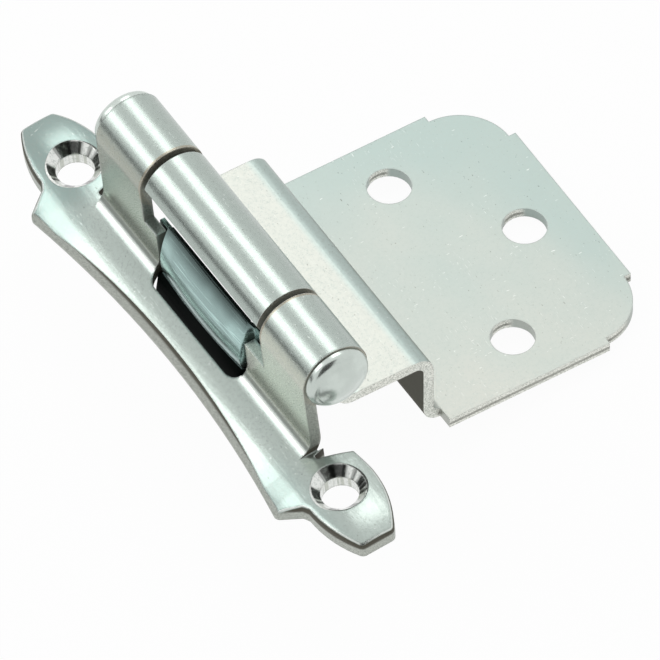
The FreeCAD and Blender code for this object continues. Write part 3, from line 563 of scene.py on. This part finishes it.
def door_sheet(name, look):
    """The door wing's sheet: polished round the knuckle, matt on shelf and plate, with a painted reflection
    on the turn from shelf to crank and painted shade inside the crank and on faces that look down. The plate
    goes from a warm tone at its near end to a cooler one at its far end, with clouds."""
    finish = Finish(bpy.data.materials.new(name))
    px, py, pz = finish.parts(finish.place())
    nx, ny, nz = finish.parts(finish.facing())
    flat = finish.step(px, SHELF_START, SHELF_START + SHELF_RUN)
    bend = finish.step(px, BEND_START, BEND_END)
    plate = finish.step(px, PLATE_START, PLATE_START + PLATE_RUN)
    cloud = finish.noise(CLOUD_SIZE, detail=3.0, stretch=CLOUD_STRETCH, turn=CLOUD_TURN)
    along = py * (1.0 / PLATE_HALF)
    across = (px - PLATE_START) * (1.0 / PLATE_HALF)
    far = finish.step(FAR_ALONG * along + FAR_ACROSS * across + FAR_CLOUD * (cloud - 0.5), *FAR_LEVELS)
    # Painted reflection: a lighter, bluer tint where the shelf turns down into the crank
    shelf_tint = finish.blend(bend, look.shelf, look.bend)
    plate_tint = finish.blend(far, look.plate_near, look.plate_far)
    tint = finish.blend(flat, look.polished, finish.blend(plate, shelf_tint, plate_tint))
    cut = finish.step(finish.size_of(ny), *DOOR_CUT)
    # Painted shade: the crank's inside keeps only a little light, and faces that look down keep a little
    # more; cut edges are spared
    unshaded = finish.step(nx * flat * (1.0 - plate), *CRANK_INSIDE)
    unshaded = unshaded * finish.step(nz, *UNDERSIDE, UNDERSIDE_LIT, 1.0)
    height = above_underside(px, pz)
    torn = finish.step(height, *TORN_LOWER) * finish.step(height, *TORN_UPPER) * plate * cut
    clear = HIDDEN_LIT + (1.0 - HIDDEN_LIT) * finish.most(unshaded, cut)
    clear = clear * (1.0 - TORN_DARK * torn)
    rough = look.polished_rough + (look.matt_rough - look.polished_rough) * flat
    drawn = finish.noise(DOOR_DRAWN_SIZE, detail=2.0, stretch=DOOR_DRAWN_STRETCH)
    lean = DOOR_DRAWN_HEIGHT * drawn * (1.0 - plate)
    speckle = 1.0 - PLATE_CALM * plate
    return plated_metal(
        finish, look, tint, clear, cut, rough, DOOR_EDGE, lean, DOOR_SHEARED, speckle=speckle)


# Frame wing

LEAF_TOP = (3.4 * MM, 2.9 * MM)       # heights between which the tabs end and the leaf begins
DISH_BLUR = 0.03 * MM                 # the countersinks' rims
TAB_FACING = (-0.75, -0.95)           # facing away from the door
TAB_ALONG = (-8.0 * MM, 8.0 * MM)     # from the near tab to the far one
TAB_NEAR, TAB_FAR = 1.22, 0.88        # tones
# Painted shade: the leaf's outer corners near its ends, and its far end, take the darker, bluer tint
CORNER_ACROSS, CORNER_ALONG = (-1.5 * MM, -5.0 * MM), (16.5 * MM, 22.0 * MM)
CORNER_SHADE = 0.75
FAR_END = (20.0 * MM, 25.0 * MM)
STREAK_SCALE, STREAK_LEVELS = 3.4, (0.44, 0.56)     # painted reflection: sectors of a countersink, by the direction that it faces
CONE_FACING = (0.25, 0.4)             # facing up, from a countersink's bore to its cone
# The cone's near-black tone is a painted dark reflection; the bore keeps a pale cut-edge tone
BORE_TONE, CONE_TONE = 1.1, 0.1
RING_ALONG = (KNUCKLE_START + 0.34 * MM, KNUCKLE_START + 0.26 * MM)
RING_UP = (PIN_Z - 2.0 * MM, PIN_Z - 1.0 * MM)
RING_SHARE = 0.8
RIM_HIGHLIGHT_LOWER, RIM_HIGHLIGHT_UPPER = (0.66, 0.74), (0.9, 0.85)   # painted highlight along the leaf's rim, on faces that look up by these shares
SIDE_FACING = (0.72, 0.55)            # sides under the rim, facing up
UNDER_RIM, UNDER_RIM_DARK = (1.0 * MM, 1.5 * MM), 0.85
LEAF_CUT = (0.85, 0.96)               # facing along the pin
LEAF_GLOSS, DISH_GLOSS = 0.03, 0.13   # how much less rough the leaf and its countersinks are
CROWN_START = -1.0 * MM               # the crown's lean begins here, on the outer side of the screws
CROWN_LEAN = 2900000.0                # fall of the lean's height, for each square metre from there
LEAF_DRAWN_SIZE, LEAF_DRAWN_STRETCH, LEAF_DRAWN_HEIGHT = 1.3 * MM, (1.0, 9.0, 1.0), 5.0
LEAF_EDGE = 0.4 * MM                  # easing of the edges
LEAF_SHEARED = 0.8                    # tone of the cut edges


def countersink_reflection(finish, look, nz):
    """Painted reflection in a countersink: black and bright sectors that follow the direction that it faces,
    and a pale bore.
    """
    inputs = {"Vector": finish.facing(), "Scale": STREAK_SCALE, "Detail": 2.0}
    sectors = finish.node("ShaderNodeTexNoise", None, inputs)[0]
    bore, cone = scaled(look.sheared, BORE_TONE), scaled(look.sheared, CONE_TONE)
    bore_and_dark_cone = finish.blend(finish.step(nz, *CONE_FACING), bore, cone)
    return finish.blend(finish.step(sectors, *STREAK_LEVELS), bore_and_dark_cone, look.wear_and_highlight)


def leaf_sheet(name, look):
    """The frame wing's sheet: polished, with rough sides below the leaf's rim, dark just under it, a painted
    highlight along the rim, painted dark and bright reflections in the countersinks, and painted shade in a
    darker, bluer tint at the far end and outer corners. The leaf's crown turns more towards its long outer
    edge, as the square of the place."""
    finish = Finish(bpy.data.materials.new(name))
    px, py, pz = finish.parts(finish.place())
    nx, ny, nz = finish.parts(finish.facing())
    along = finish.size_of(py)
    leaf = finish.step(pz, *LEAF_TOP)
    from_screw = around(finish, px, along - SCREW_Y)
    dish = finish.step(from_screw, DISH_RIM + DISH_BLUR, DISH_RIM - DISH_BLUR)
    tab = finish.step(nx, *TAB_FACING) * (1.0 - leaf)
    tab_tone = finish.step(py, *TAB_ALONG)
    tab_tint = finish.blend(tab_tone, scaled(look.tab, TAB_NEAR), scaled(look.tab, TAB_FAR))
    # Painted shade at the far end and outer corners of the leaf
    corners = finish.step(px, *CORNER_ACROSS) * finish.step(along, *CORNER_ALONG)
    cool_shade = finish.most(CORNER_SHADE * corners, finish.step(py, *FAR_END)) * leaf
    tint = finish.blend(tab, finish.blend(cool_shade, look.polished, look.cool_shade), tab_tint)
    tint = finish.blend(dish, tint, countersink_reflection(finish, look, nz))
    ring = finish.step(along, *RING_ALONG) * (1.0 - leaf) * finish.step(pz, *RING_UP)
    tint = finish.blend(RING_SHARE * ring, tint, look.ring)
    # Painted highlight along the rim of the leaf
    painted_rim_highlight = finish.step(nz, *RIM_HIGHLIGHT_LOWER) * finish.step(nz, *RIM_HIGHLIGHT_UPPER) * leaf * (1.0 - dish)
    side = finish.step(nz, *SIDE_FACING) * leaf * (1.0 - dish)
    clear = 1.0 - UNDER_RIM_DARK * (side * finish.step(pz, *UNDER_RIM))
    cut = finish.most(finish.step(finish.size_of(ny), *LEAF_CUT) * (1.0 - dish), side)
    rough = look.polished_rough - LEAF_GLOSS * leaf - DISH_GLOSS * dish
    out = finish.most(0.0, CROWN_START - px)
    drawn = finish.noise(LEAF_DRAWN_SIZE, detail=2.0, stretch=LEAF_DRAWN_STRETCH)
    lean = (LEAF_DRAWN_HEIGHT * drawn - CROWN_LEAN * out * out) * leaf * (1.0 - dish)
    return plated_metal(
        finish, look, tint, clear, cut, rough, LEAF_EDGE, lean, LEAF_SHEARED, bright=painted_rim_highlight)


# Pin and spring

CLOUD_LEVELS = (0.4, 0.6)             # of both pieces
PIN_CLOUD_SIZE, PIN_DULL, PIN_PALE = 3.0 * MM, 0.94, 1.03
PIN_GRAIN_SIZE, PIN_RELIEF = 0.1 * MM, 0.006 * MM
SCUFF_SIZE, SCUFF_STRETCH, SCUFF_TURN = 0.07 * MM, (1.0, 1.0, 12.0), (0.0, 0.6, 0.0)
SCUFF_LEVELS, SCUFF_SHARE, SCUFF_COLOUR = (0.68, 0.75), 0.4, (0.8, 0.82, 0.8)
# Painted shade: corners within this reach darken the pin towards this tone
PIN_NOOK_REACH, PIN_NOOK_LEVELS, PIN_CORNER_SHADE_TONE = 1.2 * MM, (0.1, 0.6), 0.15


def turned_steel(name, sizes):
    """Plated steel of the pin: smooth, with a faint grain, a few scratches and painted shade in its corners.
    """
    finish = Finish(bpy.data.materials.new(name))
    cloud = finish.step(finish.noise(PIN_CLOUD_SIZE, detail=2.0), *CLOUD_LEVELS)
    grain = finish.noise(PIN_GRAIN_SIZE, detail=2.0)
    scuff = finish.step(finish.noise(SCUFF_SIZE, 1.0, SCUFF_STRETCH, SCUFF_TURN), *SCUFF_LEVELS)
    tint = finish.blend(cloud, scaled(sizes.colour, PIN_DULL), scaled(sizes.colour, PIN_PALE))
    colour = finish.blend(SCUFF_SHARE * scuff, tint, SCUFF_COLOUR)
    # Painted shade in the corners that other surfaces close in
    open_air = finish.step(finish.open_air(PIN_NOOK_REACH), *PIN_NOOK_LEVELS)
    colour = finish.blend(open_air, scaled(sizes.colour, PIN_CORNER_SHADE_TONE), colour)
    normal = finish.bump(0.6 * grain - 0.4 * scuff, PIN_RELIEF, 0.5)
    return finish.surface(base_color=colour, metallic=0.9, roughness=0.19 + 0.1 * grain, normal=normal)


ROLLED_SIZE, ROLLED_STRETCH, ROLLED_RELIEF = 0.3 * MM, (1.0, 60.0, 1.0), 0.008 * MM
# Light streaks along the rolling, partly grain of the rolled sheet and partly a painted highlight
LINE_LEVELS, LINE_SHARE, LINE_TONE = (0.56, 0.64), 0.45, 2.0
SPRING_CLOUD_SIZE, SPRING_DULL, SPRING_PALE = 5.0 * MM, 0.85, 1.1
# Painted shade: corners within this reach darken the spring towards this tone
SPRING_NOOK_REACH, SPRING_NOOK_LEVELS, SPRING_CORNER_SHADE_TONE = 3.0 * MM, (0.05, 0.6), 0.2
LEG_SHADE_LEVELS = (SPRING_LOW.z + 2.72 * MM, SPRING_LOW.z + 2.62 * MM)   # painted shade on the lower leg, from these heights just under the fold
SHADE_LEVELS, SHADE_SHARE = (SPRING_LOW.z + 7.6 * MM, SPRING_HIGH.z), 0.8   # heights under the knuckle
SHADE_COLOUR = (0.005, 0.008, 0.007)


def tempered_steel(name, sizes):
    """Glossy blue-grey spring steel, rolled along the pin, with light draw streaks along it that are partly a
    painted highlight. Painted shade makes it dark on the lower leg, along the upper edge and in its corners."""
    finish = Finish(bpy.data.materials.new(name))
    rolled = finish.noise(ROLLED_SIZE, detail=2.0, stretch=ROLLED_STRETCH)
    streaks_and_sheen = finish.step(rolled, *LINE_LEVELS)
    cloud = finish.step(finish.noise(SPRING_CLOUD_SIZE, detail=1.0), *CLOUD_LEVELS)
    tint = finish.blend(cloud, scaled(sizes.colour, SPRING_DULL), scaled(sizes.colour, SPRING_PALE))
    colour = finish.blend(LINE_SHARE * streaks_and_sheen, tint, scaled(sizes.colour, LINE_TONE))
    # Painted shade in the corners that other surfaces close in
    open_air = finish.step(finish.open_air(SPRING_NOOK_REACH), *SPRING_NOOK_LEVELS)
    colour = finish.blend(open_air, scaled(sizes.colour, SPRING_CORNER_SHADE_TONE), colour)
    # Painted shade: near-black on the lower leg and, by height, towards the upper edge
    height = finish.parts(finish.place())[2]
    leg = finish.step(height, *LEG_SHADE_LEVELS)
    shade = SHADE_SHARE * finish.step(height, *SHADE_LEVELS)
    colour = finish.blend(finish.most(shade, leg), colour, SHADE_COLOUR)
    normal = finish.bump(rolled, ROLLED_RELIEF, 0.5)
    roughness = 0.22 + 0.1 * streaks_and_sheen + 0.7 * leg
    return finish.surface(base_color=colour, metallic=0.97, roughness=roughness, normal=normal)


# Stage

WHITE = (1.0, 1.0, 1.0, 1.0)
WORLD_STRENGTH = 0.62
FLOOR_WHITE = 0.96                    # share of the floor that is plain white, which keeps its shadow faint
FLOOR_STEPS = 9
LEFT_STRIP = (-44.0, 2.0)             # degrees about the pin from straight up, and radiance
RIGHT_STRIP = (25.0, 1.9)
CAMERA_CARD_TOWARDS = Vector((-0.32, -0.68, 0.62)).normalized()
CAMERA_CARD_SIZE = (0.46, 0.52)
LOW_CARD_DEGREES = -87.0
LOW_CARD_SIZE = (0.11, 0.5)
CARD_COLOUR, CARD_ROUGHNESS = (0.02, 0.02, 0.02, 1.0), 0.9


def seen_white(finish, white_share, plain, white):
    """Ends a finish with a plain shader, mixed with a white one where a camera, glossy or transmission ray
    meets the surface."""
    rays = {ray.socket.name: ray for ray in finish.node("ShaderNodeLightPath")}
    seen = finish.most(rays["Is Camera Ray"], rays["Is Glossy Ray"])
    seen = finish.most(seen, rays["Is Transmission Ray"])
    finish.end(finish.node("ShaderNodeMixShader", None, {0: seen * white_share, 1: plain, 2: white})[0])


def make_world():
    """White world that lights softly, and is plain white behind the hinge and in its reflections."""
    world = bpy.data.worlds.new("Studio")
    finish = Finish(world)
    soft = finish.node("ShaderNodeBackground", None, {"Color": WHITE, "Strength": WORLD_STRENGTH})[0]
    white = finish.node("ShaderNodeBackground", None, {"Color": WHITE, "Strength": 1.0})[0]
    seen_white(finish, 1.0, soft, white)
    bpy.context.scene.world = world


def make_floor(settings):
    """Pale floor under the lowest point of the hinge, mostly plain white, so that the shadow is faint."""
    half = settings.floor_size / 2
    side = np.linspace(-half, half, FLOOR_STEPS)
    x, y = np.meshgrid(side, side, indexing="xy")
    floor = grid_object("floor", np.stack([x, y, np.full_like(x, CAD_BOX[0].z)], axis=2))
    finish = Finish(bpy.data.materials.new("pale_floor"))
    plain = finish.node("ShaderNodeBsdfDiffuse", None, {"Color": (*settings.floor_colour, 1.0)})[0]
    white = finish.node("ShaderNodeEmission", None, {"Strength": 1.0})[0]
    seen_white(finish, FLOOR_WHITE, plain, white)
    floor.data.materials.append(finish.owner)


def mirrored_place(degrees, settings):
    """Where surfaces drawn out along the pin mirror the camera to, turned to face the hinge. Such a surface,
    whose normal leans by a, mirrors the camera's direction to the one with the same share along the pin,
    turned back, and twice a less the camera's own lean across it."""
    along = -VIEW_BACK.y
    across = (1.0 - along * along) ** 0.5
    turn = np.radians(degrees)
    direction = Vector((across * np.sin(turn), along, across * np.cos(turn)))
    back = Vector((np.sin(turn), 0.0, np.cos(turn)))
    pin_way = Vector((0.0, 1.0, 0.0))
    turned = Matrix((pin_way.cross(back), pin_way, back)).transposed().to_4x4()
    turned.translation = Vector((PIN_X, 0.0, PIN_Z)) + direction * settings.lamp_distance
    return turned


def make_strip_lamp(name, degrees, radiance, settings):
    """Strip lamp parallel to the pin, where surfaces drawn out along the pin mirror the camera to."""
    data = bpy.data.lights.new(name, "AREA")
    data.shape = "RECTANGLE"
    data.size = settings.lamp_width
    data.size_y = settings.lamp_length
    data.energy = radiance * np.pi * data.size * data.size_y
    lamp = bpy.data.objects.new(name, data)
    bpy.context.scene.collection.objects.link(lamp)
    lamp.matrix_world = mirrored_place(degrees, settings)


def make_dark_card(name, place, size, material):
    """Dark card that only reflections show, flat and facing along its own z axis."""
    sides = [np.linspace(-side / 2, side / 2, 3) for side in size]
    u, v = np.meshgrid(*sides, indexing="xy")
    points = np.stack([u, v, np.zeros_like(u), np.ones_like(u)], axis=2) @ np.array(place).T
    card = grid_object(name, points[:, :, :3])
    card.data.materials.append(material)
    card.visible_camera = False
    card.visible_diffuse = False
    card.visible_shadow = False


def make_dark_cards(settings):
    """One card round the camera, which the countersinks and the pin head mirror, and one beside the leaf."""
    finish = Finish(bpy.data.materials.new("dark_card"))
    material = finish.surface(base_color=CARD_COLOUR, roughness=CARD_ROUGHNESS)
    by_camera = CAMERA_CARD_TOWARDS.to_track_quat("Z", "Y").to_matrix().to_4x4()
    by_camera.translation = Vector((PIN_X, 0.0, PIN_Z)) + CAMERA_CARD_TOWARDS * settings.lamp_distance
    make_dark_card("camera_card", by_camera, CAMERA_CARD_SIZE, material)
    make_dark_card("low_card", mirrored_place(LOW_CARD_DEGREES, settings), LOW_CARD_SIZE, material)


def make_camera(settings):
    """Parallel camera at the photograph's angle."""
    up = VIEW_BACK.cross(VIEW_RIGHT).normalized()
    right = up.cross(VIEW_BACK)
    data = bpy.data.cameras.new("camera")
    data.type = "ORTHO"
    data.ortho_scale = settings.picture_width
    camera = bpy.data.objects.new("camera", data)
    bpy.context.scene.collection.objects.link(camera)
    centre = Vector((PIN_X, 0.0, PIN_Z)) + right * CENTRE_RIGHT + up * CENTRE_UP
    turned = Matrix((right, up, VIEW_BACK)).transposed().to_4x4()
    turned.translation = centre + VIEW_BACK * settings.camera_distance
    camera.matrix_world = turned
    bpy.context.scene.camera = camera


def give_material(node, material):
    """Puts one material in every slot of a CAD node."""
    slots = node.material_slots
    if not slots:
        node.data.materials.append(material)
    for slot in slots:
        slot.material = material


# Steps

class HINGE_OT_sheets(bpy.types.Operator):
    """Give the two wings their plated finish"""
    bl_idname = "hinge.sheets"
    bl_label = "Finish the wings"

    def execute(self, context):
        look = context.scene.hinge_sheet
        give_material(frame["nodes"]["frame_wing"], leaf_sheet("plated_frame_wing", look))
        give_material(frame["nodes"]["door_wing"], door_sheet("plated_door_wing", look))
        return {"FINISHED"}


class HINGE_OT_pin(bpy.types.Operator):
    """Make the pin with rounded heads"""
    bl_idname = "hinge.pin"
    bl_label = "Make the pin"

    def execute(self, context):
        sizes = context.scene.hinge_pin
        radius, place = pin_profile(sizes)
        pin = turned_surface("turned_pin", radius, place)
        pin.data.materials.append(turned_steel("plated_pin", sizes))
        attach(pin, "frame_side")
        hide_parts("hinge_pin")
        return {"FINISHED"}


class HINGE_OT_spring(bpy.types.Operator):
    """Make the folded closing spring"""
    bl_idname = "hinge.spring"
    bl_label = "Make the spring"

    def execute(self, context):
        sizes = context.scene.hinge_spring
        spring = sheet_from_face("folded_spring", spring_face(sizes), sizes.gauge, SPRING_EDGE)
        spring.data.materials.append(tempered_steel("tempered_spring", sizes))
        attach(spring, "frame_side")
        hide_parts("closing_spring")
        return {"FINISHED"}


class HINGE_OT_stage(bpy.types.Operator):
    """Make the camera, the lamps, the floor, the dark cards and the world"""
    bl_idname = "hinge.stage"
    bl_label = "Set the stage"

    def execute(self, context):
        settings = context.scene.hinge_stage
        make_camera(settings)
        make_world()
        make_floor(settings)
        make_strip_lamp("left_strip", *LEFT_STRIP, settings)
        make_strip_lamp("right_strip", *RIGHT_STRIP, settings)
        make_dark_cards(settings)
        context.scene.view_settings.view_transform = "Standard"
        return {"FINISHED"}


class HINGE_PT_panel(bpy.types.Panel):
    """Lists the steps that dress the hinge, and its sizes and colours"""
    bl_label = "Hinge"
    bl_idname = "HINGE_PT_panel"
    bl_space_type = "VIEW_3D"
    bl_region_type = "UI"
    bl_category = "Hinge"

    def draw(self, context):
        scene = context.scene
        groups = ((scene.hinge_sheet, HINGE_OT_sheets), (scene.hinge_pin, HINGE_OT_pin),
                  (scene.hinge_spring, HINGE_OT_spring), (scene.hinge_stage, HINGE_OT_stage))
        for group, operator in groups:
            box = self.layout.box()
            for name in group.__annotations__:
                box.prop(group, name)
            box.operator(operator.bl_idname)


GROUPS = {
    "hinge_sheet": HingeSheetFinish,
    "hinge_pin": HingePinSizes,
    "hinge_spring": HingeSpringSizes,
    "hinge_stage": HingeStageSettings,
}
OTHER_CLASSES = (HINGE_OT_sheets, HINGE_OT_pin, HINGE_OT_spring, HINGE_OT_stage, HINGE_PT_panel)


def register():
    for kind in (*GROUPS.values(), *OTHER_CLASSES):
        bpy.utils.register_class(kind)
    for name, kind in GROUPS.items():
        setattr(bpy.types.Scene, name, PointerProperty(type=kind))


def unregister():
    for name in GROUPS:
        delattr(bpy.types.Scene, name)
    for kind in reversed((*GROUPS.values(), *OTHER_CLASSES)):
        bpy.utils.unregister_class(kind)


def main():
    register()
    bpy.ops.hinge.stage()
    bpy.ops.hinge.sheets()
    bpy.ops.hinge.pin()
    bpy.ops.hinge.spring()


if __name__ == "__main__":
    main()
